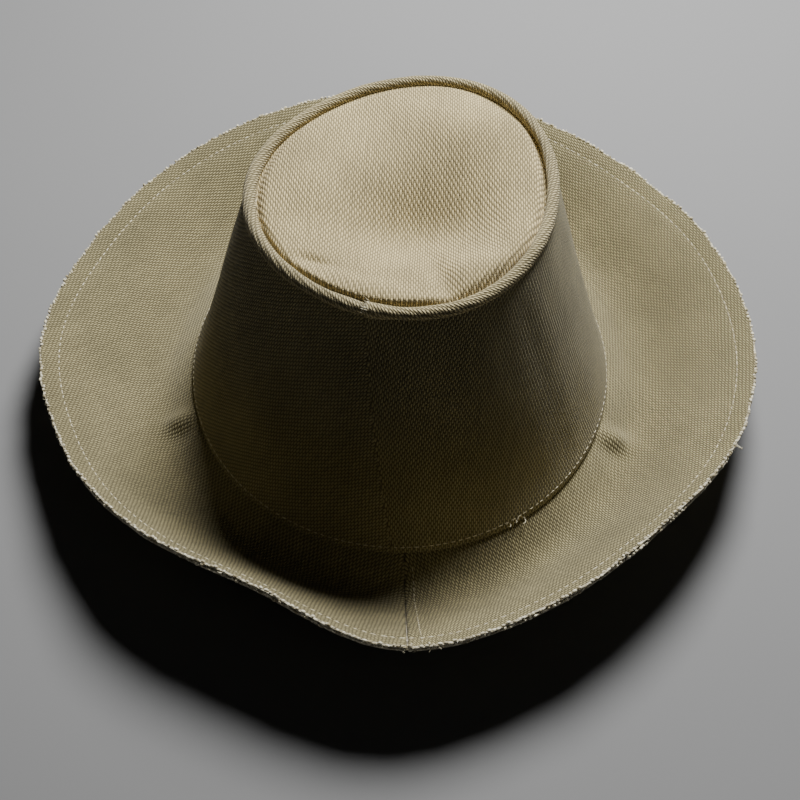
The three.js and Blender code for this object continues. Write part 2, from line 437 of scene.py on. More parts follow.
def dress(piece: bpy.types.Object, nodes: Sequence[str], finishes: Sequence["Finish"]) -> None:
    """Fasten a piece to the hat's body and give it its finish.

    Args:
        piece: the object to dress.
        nodes: the frame's nodes that it stands for.
        finishes: its materials, with the cut edge's last where it has one.
    """
    for finish in finishes:
        piece.data.materials.append(finish.material())
    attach(piece, BODY)
    if nodes:
        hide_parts(*nodes)
    log.info("%s: %d points", piece.name, len(piece.data.vertices))


def declare_cut(piece: bpy.types.Object) -> None:
    """Work out the area of a cloth piece's flat cut from its cloth map; the result is not used.

    Args:
        piece: the cloth piece, after its finish is on.
    """
    loops = piece.data.uv_layers[CLOTH_MAP].data
    area = 0.0
    for polygon in piece.data.polygons:
        corners = [loops[index].uv for index in polygon.loop_indices]
        pairs = zip(corners, corners[1:] + corners[:1])
        area += abs(sum(start.cross(end) for start, end in pairs)) / 2


def finish_cloth(
    piece: bpy.types.Object, node: str, finish: "Finish", thickness: float
) -> None:
    """Give a cloth grid its thickness and its finish, and work out the area of its flat cut.

    Args:
        piece: the grid, which lies in the middle of the cloth.
        node: the frame's node that it stands for.
        finish: the cloth's finish; its rim takes the raw cut's.
        thickness: of the cloth, half of it to each side.
    """
    solid = piece.modifiers.new("thickness", "SOLIDIFY")
    solid.thickness = thickness
    solid.offset = 0
    solid.material_offset_rim = 1
    dress(piece, [node], [finish, CUT_EDGE])
    declare_cut(piece)


# ---------------------------------------------------------------- finishes


class Shader:
    """A material's node tree, with short ways to add what the finishes use."""

    def __init__(self, name: str) -> None:
        """Start a material with a surface shader."""
        self.material = bpy.data.materials.new(name)
        self.material.use_nodes = True
        self.tree = self.material.node_tree
        self.surface = self.tree.nodes["Principled BSDF"]

    def add(self, kind: str, **settings: object) -> bpy.types.Node:
        """Add a node of `kind` with its properties set."""
        node = self.tree.nodes.new(kind)
        for name, value in settings.items():
            setattr(node, name, value)
        return node

    def feed(self, socket: Socket, value: object) -> None:
        """Link a socket to another, or set its value."""
        if isinstance(value, bpy.types.NodeSocket):
            self.tree.links.new(value, socket)
        else:
            socket.default_value = value

    def cloth(self) -> tuple[Socket, Socket, Socket]:
        """Return the place on the flat cloth, and that place's two parts."""
        where = self.add("ShaderNodeUVMap", uv_map=CLOTH_MAP).outputs[0]
        parts = self.add("ShaderNodeSeparateXYZ")
        self.feed(parts.inputs[0], where)
        return where, parts.outputs["X"], parts.outputs["Y"]

    def body(self) -> Socket:
        """Return the place in the hat."""
        return self.add("ShaderNodeTexCoord").outputs["Object"]

    def math(self, operation: str, *values: object) -> Socket:
        """Add a Math node and return its result."""
        node = self.add("ShaderNodeMath", operation=operation)
        for socket, value in zip(node.inputs, values):
            self.feed(socket, value)
        return node.outputs[0]

    def arch(self, count: object) -> Socket:
        """Return a round-topped wave that falls to 0 at each whole number of `count`."""
        return self.math("ABSOLUTE", self.math("SINE", self.math("MULTIPLY", count, math.pi)))

    def ramp(self, value: object, low: float, high: float, start: float = 0.0, end: float = 1.0) -> Socket:
        """Return a smooth step of `value` from `low` to `high`, as `start` to `end`."""
        node = self.add("ShaderNodeMapRange", interpolation_type="SMOOTHSTEP")
        names = ("Value", "From Min", "From Max", "To Min", "To Max")
        for name, setting in zip(names, (value, low, high, start, end)):
            self.feed(node.inputs[name], setting)
        return node.outputs["Result"]

    def noise(self, vector: object, scale: float, detail: float = 2.0, roughness: float = 0.5) -> Socket:
        """Return a soft noise value."""
        node = self.add("ShaderNodeTexNoise")
        names = ("Vector", "Scale", "Detail", "Roughness")
        for name, setting in zip(names, (vector, scale, detail, roughness)):
            self.feed(node.inputs[name], setting)
        return node.outputs["Fac"]

    def speckle(self, vector: object) -> Socket:
        """Return a random value for each whole step of `vector`."""
        node = self.add("ShaderNodeTexWhiteNoise", noise_dimensions="2D")
        self.feed(node.inputs["Vector"], vector)
        return node.outputs["Value"]

    def pair(self, x: object, y: object) -> Socket:
        """Return a vector with the given first two parts."""
        node = self.add("ShaderNodeCombineXYZ")
        self.feed(node.inputs["X"], x)
        self.feed(node.inputs["Y"], y)
        return node.outputs[0]

    def mix(self, share: object, low: object, high: object) -> Socket:
        """Return a mix of two colours."""
        node = self.add("ShaderNodeMix", data_type="RGBA")
        self.feed(node.inputs["Factor"], share)
        for socket, value in ((node.inputs[6], low), (node.inputs[7], high)):
            self.feed(socket, (*value, 1.0) if isinstance(value, tuple) else value)
        return node.outputs[2]

    def shade(self, colour: object, share: object) -> Socket:
        """Return `colour` multiplied by `share`."""
        node = self.add("ShaderNodeVectorMath", operation="SCALE")
        self.feed(node.inputs[0], colour)
        self.feed(node.inputs["Scale"], share)
        return node.outputs[0]

    def paint(self, colour: object) -> None:
        """Give the surface its colour."""
        self.feed(self.surface.inputs["Base Color"], colour)

    def bump(self, height: object, distance: float) -> None:
        """Give the surface a relief."""
        node = self.add("ShaderNodeBump")
        self.feed(node.inputs["Height"], height)
        self.feed(node.inputs["Distance"], distance)
        self.feed(node.inputs["Strength"], 1.0)
        self.feed(self.surface.inputs["Normal"], node.outputs[0])


@dataclass(frozen=True)
class Finish:
    """What every finish shares: its name and how its surface takes light."""

    name: str
    roughness: float = 0.9
    sheen: float = 0.12

    def material(self) -> bpy.types.Material:
        """Return the finish's material, made on first use."""
        known = bpy.data.materials.get(self.name)
        if known:
            return known
        shader = Shader(self.name)
        surface = shader.surface.inputs
        surface["Roughness"].default_value = self.roughness
        surface["Specular IOR Level"].default_value = 0.18
        surface["Sheen Weight"].default_value = self.sheen
        surface["Sheen Roughness"].default_value = 0.6
        self.paint(shader)
        return shader.material

    def paint(self, shader: Shader) -> None:
        """Build the finish's colour and relief."""
        raise NotImplementedError


@dataclass(frozen=True)
class Canvas(Finish):
    """Plain-weave cotton duck with a crimped warp that stands over its weft."""

    warp_pitch: float = 0.88 * MM
    weft_pitch: float = 1.35 * MM
    # deep is a painted shade colour for the weave's hollows between the yarns
    deep: Colour = (0.085, 0.071, 0.032)
    light: Colour = (0.42, 0.364, 0.19)
    relief: float = 0.5 * MM
    slub: float = 0.9
    slub_scale: float = 170.0
    sway: float = 0.7
    sway_scale: float = 260.0
    yarn_contrast: float = 0.14
    mottle_scale: float = 38.0
    patch_scale: float = 9.0
    fuzz: float = 0.25
    fuzz_scale: float = 2600.0

    def paint(self, shader: Shader) -> None:
        """Build the weave's lattice, its yarn-to-yarn variation, the dye's soft mottle and painted shade in
        the weave's hollows.
        """
        where, x, y = shader.cloth()
        body = shader.body()
        slub = shader.math("SUBTRACT", shader.noise(where, self.slub_scale), 0.5)
        sway = shader.math("SUBTRACT", shader.noise(body, self.sway_scale), 0.5)
        slub, sway = shader.math("MULTIPLY", slub, self.slub), shader.math("MULTIPLY", sway, self.sway)
        warp = shader.math("MULTIPLY_ADD", x, 1 / self.warp_pitch, slub)
        weft = shader.math("MULTIPLY_ADD", y, 1 / self.weft_pitch, sway)
        height, end, pick = self.lattice(shader, warp, weft)
        yarns = shader.math(
            "ADD",
            shader.speckle(shader.pair(end, shader.math("FLOOR", shader.math("MULTIPLY", weft, 0.11)))),
            shader.speckle(shader.pair(end, pick)),
        )
        mottle = shader.noise(body, self.mottle_scale, detail=4.0, roughness=0.6)
        patches = shader.noise(body, self.patch_scale)
        shade = shader.math("MULTIPLY_ADD", yarns, self.yarn_contrast, 0.82)
        shade = shader.math("MULTIPLY", shade, shader.ramp(mottle, 0.25, 0.75, 0.88, 1.1))
        shade = shader.math("MULTIPLY", shade, shader.ramp(patches, 0.3, 0.7, 0.94, 1.05))
        # Painted shade: the weave's low points take the deep colour, as if shadowed between the yarns.
        colour = shader.mix(shader.ramp(height, 0.12, 0.72), self.deep, self.light)
        shader.paint(shader.shade(colour, shade))
        fuzz = shader.noise(body, self.fuzz_scale)
        shader.bump(shader.math("MULTIPLY_ADD", fuzz, self.fuzz, height), self.relief)

    @staticmethod
    def lattice(
        shader: Shader, warp: Socket, weft: Socket
    ) -> tuple[Socket, Socket, Socket]:
        """Build the over-and-under relief of a plain weave.

        Args:
            shader: the material's nodes.
            warp: the place across the warp, counted in ends.
            weft: the place along it, counted in picks.

        Returns:
            The relief from 0 to 1, and the numbers of the end and the pick.
        """
        end = shader.math("FLOOR", warp)
        pick = shader.math("FLOOR", weft)
        warp_round = shader.arch(warp)
        weft_round = shader.arch(weft)
        warp_rise = shader.math("SINE", shader.math("MULTIPLY", shader.math("ADD", weft, end), math.pi))
        weft_rise = shader.math("SINE", shader.math("MULTIPLY", shader.math("ADD", warp, pick), math.pi))
        float_shape = shader.math("SQRT", shader.math("MULTIPLY_ADD", warp_rise, 0.5, 0.5))
        over = shader.math("MULTIPLY", shader.math("POWER", warp_round, 0.75), float_shape)
        under = shader.math("MULTIPLY", weft_round, shader.math("MULTIPLY_ADD", weft_rise, -0.17, 0.17))
        return shader.math("MAXIMUM", over, under), end, pick


@dataclass(frozen=True)
class Twill(Finish):
    """Cotton twill with a fine diagonal rib."""

    rib_pitch: float = 0.9 * MM
    yarns_per_rib: float = 2.4
    relief: float = 0.12 * MM
    # deep is a painted shade colour for the rib's grooves
    deep: Colour = (0.16, 0.138, 0.09)
    light: Colour = (0.42, 0.375, 0.26)

    def paint(self, shader: Shader) -> None:
        """Build the diagonal rib and its broken yarns, with painted shade in the rib's grooves."""
        where, x, y = shader.cloth()
        rib = shader.math("MULTIPLY", shader.math("ADD", x, y), 1 / self.rib_pitch)
        rib = shader.math("ADD", rib, shader.math("MULTIPLY", shader.noise(where, 200.0), 0.5))
        notch = shader.arch(shader.math("MULTIPLY", x, self.yarns_per_rib / self.rib_pitch))
        relief = shader.math("MULTIPLY", shader.arch(rib), shader.math("MULTIPLY_ADD", notch, 0.35, 0.65))
        shade = shader.ramp(shader.noise(shader.body(), 40.0, detail=3.0), 0.25, 0.75, 0.88, 1.08)
        # Painted shade: the rib's grooves take the deep colour, as if shadowed.
        colour = shader.mix(shader.ramp(relief, 0.2, 0.9), self.deep, self.light)
        shader.paint(shader.shade(colour, shade))
        shader.bump(relief, self.relief)


@dataclass(frozen=True)
class Yarn(Finish):
    """Spun cotton yarn or thread, with a fine twist and uneven dye."""

    deep: Colour = (0.3, 0.26, 0.17)
    light: Colour = (0.72, 0.67, 0.52)
    patch_scale: float = 420.0
    relief: float = 0.08 * MM

    def paint(self, shader: Shader) -> None:
        """Build the yarn's streaks and its fuzz."""
        body = shader.body()
        streak = shader.noise(body, self.patch_scale, detail=3.0, roughness=0.65)
        shader.paint(shader.mix(shader.ramp(streak, 0.35, 0.62), self.deep, self.light))
        shader.bump(shader.noise(body, 3000.0, detail=1.0), self.relief)


@dataclass(frozen=True)
class PlainFloor(Finish):
    """The pale studio floor."""

    tone: float = 0.26

    def paint(self, shader: Shader) -> None:
        """Give the floor an even, very faintly mottled tone."""
        shade = shader.ramp(shader.noise(shader.body(), 3.0), 0.2, 0.8, self.tone * 0.98, self.tone * 1.02)
        node = shader.add("ShaderNodeCombineColor")
        for socket in node.inputs:
            shader.feed(socket, shade)
        shader.paint(node.outputs[0])


OLIVE_CANVAS = Canvas("olive_duck")
# The tip's canvas is the olive duck made much lighter: painted highlight for the lit top of the hat.
LIT_TIP_CANVAS = Canvas(
    "tip_duck_painted_highlight", warp_pitch=0.9 * MM, weft_pitch=1.48 * MM, deep=(0.22, 0.178, 0.085), light=(0.8, 0.645, 0.33)
)
# The binding's canvas is the olive duck made lighter: painted highlight for the lit roll at the crown's top.
LIT_BINDING_CANVAS = Canvas("binding_duck_painted_highlight", deep=(0.14, 0.115, 0.056), light=(0.58, 0.493, 0.273))
CUT_EDGE = Yarn("raw_cut", deep=(0.2, 0.17, 0.11), light=(0.62, 0.57, 0.44), patch_scale=900.0)
CORE_YARN = Yarn("undyed_core_yarn", deep=(0.4, 0.34, 0.2), light=(0.95, 0.89, 0.68))
STITCH_THREAD = Yarn("spun_thread", deep=(0.5, 0.44, 0.29), light=(0.94, 0.87, 0.65))
BAND_TWILL = Twill("band_twill_weave")
FLOOR = PlainFloor("pale_studio_floor", roughness=0.8, sheen=0.0)


# ---------------------------------------------------------------- cloth pieces


def fold_at(distance: float, radius: float) -> Pair:
    """Return where cloth that turns under at a seam lies.

    Args:
        distance: along the cloth from the middle of the turn, below 0 on the side turned under.
        radius: of the turn.

    Returns:
        How far from the seam, and how deep below the face.
    """
    quarter = radius * math.pi / 2
    if abs(distance) < quarter:
        turn = distance / radius
        return radius * (1 - math.cos(turn)), radius * (1 - math.sin(turn))
    return radius + abs(distance) - quarter, 0.0 if distance > 0 else 2 * radius


def graded(stops: Sequence[tuple[float, int]], end: float) -> list[float]:
    """Return marks that run from the first stop to `end`.

    Args:
        stops: where each stretch starts, and how many even steps it has.
        end: where the last stretch ends.

    Returns:
        The marks, both ends among them.
    """
    marks = []
    ends = [start for start, _ in stops[1:]] + [end]
    for (start, steps), finish in zip(stops, ends):
        marks.extend(blend_between(start, finish, step / steps) for step in range(steps))
    return [*marks, end]


def turned(point: Vector, angle: float) -> Pair:
    """Return a flat point in axes turned by `angle`."""
    cos, sin = math.cos(angle), math.sin(angle)
    return point.x * cos + point.y * sin, point.y * cos - point.x * sin


@dataclass(frozen=True)
class HalfSpan:
    """Half a turn of the hat, measured along the cloth from one seam to the other."""

    side: Side
    seam: float
    radius: float
    fold_radius: float
    slit: float = 0.06 * MM
    slit_fade: float = 6 * MM

    @property
    def start(self) -> float:
        """The angle of the seam that the half starts from."""
        return self.seam if self.side is Side.RIGHT else self.seam + math.pi

    @property
    def length(self) -> float:
        """The cloth's length between the middles of its two turns."""
        return math.pi * self.radius + (math.pi - 2) * self.fold_radius

    def at(self, distance: float) -> Pair:
        """Return the angle, and the depth below the face, at `distance` from the first seam."""
        nearest = min(distance, self.length - distance)
        slit = self.slit * (1 - ease(nearest / self.slit_fade))
        past, depth = fold_at(nearest, self.fold_radius)
        away = (past + slit) / self.radius
        swing = away if distance < self.length / 2 else math.pi - away
        return self.start + swing, depth


@dataclass
class Brim:
    """The brim: two layers of canvas, each of two halves, left raw at the edge."""

    form: HatForm
    seam_fold: float = 0.6 * MM
    top_slit: float = 0.5 * MM
    under_slit: float = 0.2 * MM
    mean_radius: float = 96.4 * MM
    cloth_thickness: float = 1.15 * MM
    edge_band: float = 16 * MM
    nominal_length: float = 100 * MM
    collar_reach: float = 15.4 * MM
    stitch_inset: float = 7.5 * MM
    groove_depth: float = 0.3 * MM
    groove_width: float = 1.1 * MM
    swell: float = 0.55 * MM
    edge_wander: float = 0.8 * MM
    wander_reach: float = 3 * MM
    under_short: float = 0.9 * MM
    slope_start: float = 16 * MM
    slope_width: float = 18 * MM
    edge_pucker: float = 0.16 * MM
    edge_pucker_place: float = 5 * MM
    edge_pucker_width: float = 7 * MM
    left_grain: float = math.radians(-40)
    right_grain: float = math.radians(26.5)
    pucker_angles: tuple[float, ...] = (math.radians(-25), math.radians(-160.5))
    pucker_depth: float = 3.6 * MM
    pucker_hollow: float = 0.12
    ridge_place: float = 4 * MM
    ridge_width: float = 4.5 * MM
    hollow_place: float = 2 * MM
    hollow_width: float = 3 * MM
    pucker_place: float = 8 * MM
    pucker_reach: float = 7 * MM
    sections: dict[float, Ribbon] = field(default_factory=dict)

    def section(self, angle: float) -> Ribbon:
        """Return the section at `angle`, made once."""
        key = round(angle % FULL_TURN, 7)
        if key not in self.sections:
            self.sections[key] = self.form.brim_section(angle)
        return self.sections[key]

    def edge_shift(self, angle: float, layer: Layer) -> float:
        """Return how far the cut edge wanders outwards at `angle`."""
        seed = 3.0 if layer is Layer.TOP else 8.0
        wander = noise.noise(round_hat(angle, 9, seed)) + 0.5 * noise.noise(round_hat(angle, 40, seed))
        short = 0.0 if layer is Layer.TOP else self.under_short
        return wander * self.edge_wander - short

    def spot(self, angle: float, distance: float, lift: float) -> Vector:
        """Return a point over the brim.

        Args:
            angle: round the hat.
            distance: along the section from the cut edge.
            lift: square off the section line.

        Returns:
            The point in the frame.
        """
        point, normal = self.section(angle).at(distance)
        out = point.x
        slope_share = ease((out - self.slope_start) / self.slope_width)
        swell = self.swell * noise.noise(round_hat(angle, 2.73, distance * 20.8)) * slope_share
        pucker = noise.noise(Vector((angle * 24, distance * 20, 5.0)))
        pucker *= self.edge_pucker * hump(distance - self.edge_pucker_place, self.edge_pucker_width)
        point = point + normal * (lift + swell + pucker + self.valley_pucker(angle, out))
        return self.form.on_brim(angle, point.x, point.y)

    def valley_pucker(self, angle: float, out: float) -> float:
        """Return the lift of the short folds where the near brim bends up beside the crown."""
        lift = 0.0
        for centre in self.pucker_angles:
            away = wrapped(angle - centre) * self.mean_radius
            sideways = away if centre > self.form.brim_seam else -away
            ridge = hump(sideways - self.ridge_place, self.ridge_width)
            hollow = hump(sideways + self.hollow_place, self.hollow_width) * ease(out / (3 * MM))
            lift += ridge - self.pucker_hollow * hollow
        return lift * self.pucker_depth * hump(out - self.pucker_place, self.pucker_reach)

    def groove(self, distance: float, layer: Layer) -> float:
        """Return how far the edge stitching pulls a layer towards the other."""
        return -layer.outward * self.groove_depth * hump(distance - self.stitch_inset, self.groove_width)

    def panel(self, side: Side, layer: Layer) -> None:
        """Make one half of one layer."""
        slit = self.top_slit if layer is Layer.TOP else self.under_slit
        span = HalfSpan(side, self.form.brim_seam, self.mean_radius, self.seam_fold, slit)
        grain_turn = self.left_grain if side is Side.LEFT else self.right_grain

        def place(along: float, row: float) -> tuple[Vector, Pair]:
            angle, depth = span.at(along)
            length = self.section(angle).length
            rest = (row - self.edge_band) / (self.nominal_length - self.edge_band)
            distance = row if rest < 0 else blend_between(self.edge_band, length, rest)
            near_edge = max(0.0, 1 - distance / self.wander_reach)
            shifted = distance - self.edge_shift(angle, layer) * near_edge
            lift = layer.value + self.groove(distance, layer) - layer.outward * depth
            foot = self.form.oval(0.0, angle, length - self.collar_reach - distance, 0.0)
            flat = foot.to_2d() - self.form.centre
            return self.spot(angle, shifted, lift), turned(flat, grain_turn)

        end = span.length
        columns = graded([(0.0, 7), (2 * MM, 560), (end - 2 * MM, 7)], end)
        rows = graded([(0.0, 4), (2 * MM, 14), (self.edge_band, 30)], self.nominal_length)
        node = f"brim_{layer.label}_{side.value}"
        piece = sheet_mesh(f"canvas_{node}", columns, rows, place)
        finish_cloth(piece, node, OLIVE_CANVAS, self.cloth_thickness)

    def build(self) -> None:
        """Make all four halves."""
        for layer in Layer:
            for side in Side:
                self.panel(side, layer)


@dataclass
class Crown:
    """The crown's side: two halves of canvas, seamed at the back and the front."""

    form: HatForm
    cloth_thickness: float = 1.0 * MM
    seam_fold: float = 0.62 * MM
    seam_allowance: float = 8 * MM
    mean_radius: float = 96.4 * MM
    flat_foot_radius: float = 302 * MM
    flat_top_radius: float = 199 * MM
    flat_half_angle: float = math.radians(57.5)
    left_grain: float = math.radians(14)
    right_grain: float = math.radians(40)
    swell: float = 0.9 * MM
    seam_ridge: float = 0.35 * MM
    seam_ridge_width: float = 2.4 * MM
    fold_reach: float = 1.6 * MM
    hem_cut: float = 13 * MM
    section_mm: tuple[Pair, ...] = (
        (-0.55, 106.6), (-0.55, 96), (-0.55, 80), (-0.55, 60), (-0.55, 40), (-0.45, 24), (-0.2, 15.5),
        (0.1, 12), (0.15, 9.6), (-0.05, 8.45), (-0.5, 8.2), (-0.85, 8.9), (-0.9, 11.2), (-0.9, 15),
    )

    def section(self) -> Ribbon:
        """Return the side's section, from its top to the end of its turned-up hem."""
        return Ribbon(line_through([Vector(pair) * MM for pair in self.section_mm], 4))

    def swelling(self, angle: float, height: float) -> float:
        """Return how far the side stands out of its even shape."""
        broad = noise.noise(round_hat(angle, 1.75, height * 16.25) + Vector((2.0, 7.0, 1.0)))
        ripple = noise.noise(Vector((angle * 7, height * 14, 4.0))) * 0.3
        share = ease((106 * MM - height) / (14 * MM)) * ease((height - 9 * MM) / (14 * MM))
        return self.swell * (broad + ripple) * share

    def panel(self, side: Side) -> None:
        """Make one half of the side."""
        span = HalfSpan(side, self.form.crown_seam, self.mean_radius, self.seam_fold)
        section = self.section()
        grain_turn = self.left_grain if side is Side.LEFT else self.right_grain
        rise = self.form.top_oval_height - self.form.foot_height
        end = span.length
        ends = self.seam_allowance
        turn = self.fold_reach
        hem_share = self.hem_cut / section.length

        def place(along: float, distance: float) -> tuple[Vector, Pair]:
            angle, depth = span.at(along)
            turned_in = ease(-min(along, span.length - along) / turn)
            point, normal = section.at(distance * (1 - turned_in * hem_share))
            level = (point.y - self.form.foot_height) / rise
            ridge = hump(along, self.seam_ridge_width) + hump(span.length - along, self.seam_ridge_width)
            out = self.swelling(angle, point.y) + self.seam_ridge * ridge
            point = point + normal * (depth - out)
            reach = blend_between(self.flat_foot_radius, self.flat_top_radius, level)
            swing = (along / span.length - 0.5) * self.flat_half_angle
            flat = Vector((math.sin(swing), math.cos(swing))) * reach
            return self.form.on_crown(angle, point.x, point.y), turned(flat, grain_turn)

        columns = graded(
            [(-ends, 4), (-turn, 9), (turn + MM, 330), (end - turn - MM, 9), (end + turn, 4)], end + ends
        )
        rows = graded([(0.0, 70), (section.length - 18 * MM, 36)], section.length)
        node = f"crown_side_{side.value}"
        piece = sheet_mesh(f"canvas_{node}", columns, rows, place)
        finish_cloth(piece, node, OLIVE_CANVAS, self.cloth_thickness)

    def build(self) -> None:
        """Make both halves."""
        for side in Side:
            self.panel(side)


@dataclass
class Binding:
    """The bias strip rolled over the crown's top edge."""

    form: HatForm
    roll_out: float = -1.3 * MM
    roll_height: float = 106 * MM
    roll_radius: float = 2.0 * MM
    cloth_thickness: float = 0.95 * MM
    outer_end: float = math.radians(-60)
    inner_end: float = math.radians(240)
    mean_radius: float = 62 * MM
    overlap: float = 6 * MM
    overlap_lift: float = 0.5 * MM
    overlap_tuck: float = 0.35 * MM
    drag: float = 0.16 * MM
    bulge: float = 0.22 * MM
    rise_wander: float = 0.35 * MM
    out_wander: float = 0.4 * MM
    fray_count: int = 26
    bias: float = math.radians(45)

    def roll_point(self, along: float, around: float) -> Vector:
        """Return a point of the strip's middle.

        Args:
            along: round the hat from the lapped end, along the roll.
            around: round the roll, from its outermost line over its top.

        Returns:
            The point in the frame.
        """
        angle = self.form.crown_seam + along / self.mean_radius
        whole = FULL_TURN * self.mean_radius
        lapped = self.overlap_lift * ease((self.overlap * 2.2 - along) / (self.overlap * 1.6))
        tucked = -self.overlap_tuck * ease((along - whole + self.overlap) / self.overlap)
        drag = Vector((along * 130 + around * 1.3, around * 0.7, 2.0))
        wave = round_hat(angle, 3, around * 0.5)
        uneven = self.drag * noise.noise(drag) + self.bulge * noise.noise(wave)
        radius = self.roll_radius + lapped + tucked + uneven
        rise = self.roll_height + self.rise_wander * noise.noise(wave + Vector((9.0, 1.0, 0.0)))
        out = self.roll_out + self.out_wander * noise.noise(wave + Vector((4.0, 6.0, 2.0)))
        return self.form.oval(1.0, angle, out + radius * math.cos(around), rise + radius * math.sin(around))

    def build(self) -> None:
        """Make the strip, and the frayed yarns at its lapped end."""

        def place(along: float, around: float) -> tuple[Vector, Pair]:
            flat = Vector((along, around * self.roll_radius))
            return self.roll_point(along, around), turned(flat, self.bias)

        whole = FULL_TURN * self.mean_radius + self.overlap
        columns = graded([(0.0, 12), (6 * MM, 520)], whole)
        rows = graded([(self.outer_end, 22)], self.inner_end)
        piece = sheet_mesh("canvas_crown_binding", columns, rows, place)
        node = "crown_edge_binding"
        finish_cloth(piece, node, LIT_BINDING_CANVAS, self.cloth_thickness)
        self.fray()

    def fray(self) -> None:
        """Make the short yarns that stand out of the strip's lapped end."""
        rng = random.Random(31)
        pile = YarnPile()
        for _ in range(self.fray_count):
            around = rng.uniform(math.radians(20), math.radians(200))
            start = self.roll_point(rng.uniform(0.2, 1.4) * MM, around)
            ahead = (self.roll_point(-3 * MM, around) - start).normalized()
            out = (start - self.roll_point(0.0, around + math.pi)).normalized()
            length = rng.uniform(1.2, 3.0) * MM
            sway = out * rng.uniform(-0.1, 0.5) * length + Vector((0, 0, rng.uniform(-0.3, 0.3))) * length
            middle = start + ahead * length * 0.5 + sway * 0.6
            points = [start + out * 0.5 * MM, middle, start + ahead * length + sway]
            pile.fibre(line_through(points, 2), rng.uniform(0.09, 0.17) * MM)
        pile.finish("binding_end_fray", CORE_YARN, slot="binding_canvas")


@dataclass(frozen=True)
class Swell:
    """A soft rise, or a hollow where its height is below 0, on the crown's tip."""

    x: float
    y: float
    height: float
    length: float
    width: float
    turn: float = 0.0

    def at(self, x: float, y: float) -> float:
        """Return the rise at a point, all in millimetres."""
        along, across = turned(Vector((x - self.x, y - self.y)), math.radians(self.turn))
        return self.height * math.exp(-((along / self.length) ** 2) - (across / self.width) ** 2)


